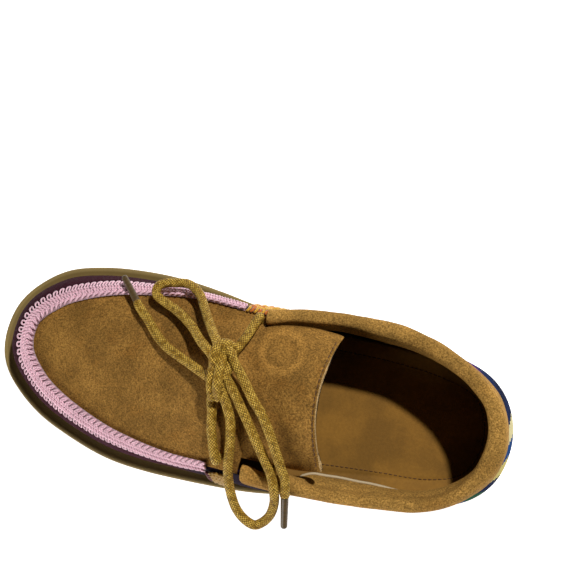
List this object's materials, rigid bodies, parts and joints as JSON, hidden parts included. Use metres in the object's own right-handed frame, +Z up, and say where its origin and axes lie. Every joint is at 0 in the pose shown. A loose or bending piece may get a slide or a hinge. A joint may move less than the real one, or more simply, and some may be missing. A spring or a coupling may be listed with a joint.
{
  "type": "moccasin shoe",
  "caption": "Low left moccasin shoe with a crowned suede apron and tongue, padded collar, crochet toe braid, thick ledge sole and a round lace tied in a bow.",
  "frame": {"origin": "on the floor under the middle of the heel's flat", "axes": "+X to the toe, +Y to the wearer's left, which is this left shoe's outer side, +Z up"},
  "size_m": [0.27, 0.1183, 0.096],
  "materials": {
    "gum_rubber": "matte olive-tan foam rubber",
    "insole_leather": "smooth tan leather, stitched near its edge",
    "woven_cloth": "dark burgundy cloth, purple at the instep and coloured woven blocks at the heel",
    "brown_suede": "golden-brown brushed suede",
    "collar_suede": "padded golden-brown suede",
    "pink_crochet": "pink crocheted yarn",
    "olive_crochet": "olive-yellow crocheted yarn",
    "yellow_crochet": "yellow-orange crocheted yarn",
    "waxed_lace": "round braided waxed cord with a dark fleck",
    "lace_tip": "brown translucent film tip"
  },
  "bodies": {
    "root": {"outsole": "gum_rubber", "insole": "insole_leather", "upper": "woven_cloth", "tongue": "brown_suede", "collar": "collar_suede", "toe_braid": "pink_crochet", "patch_lateral": "olive_crochet", "patch_medial": "yellow_crochet", "lace_bars": "waxed_lace", "lace_knot": "waxed_lace", "lace_loop_toe": "waxed_lace", "lace_loop_lateral": "waxed_lace", "lace_end_toe": "waxed_lace", "lace_end_heel": "waxed_lace", "aglet_toe": "lace_tip", "aglet_heel": "lace_tip"}
  },
  "joints": []
}
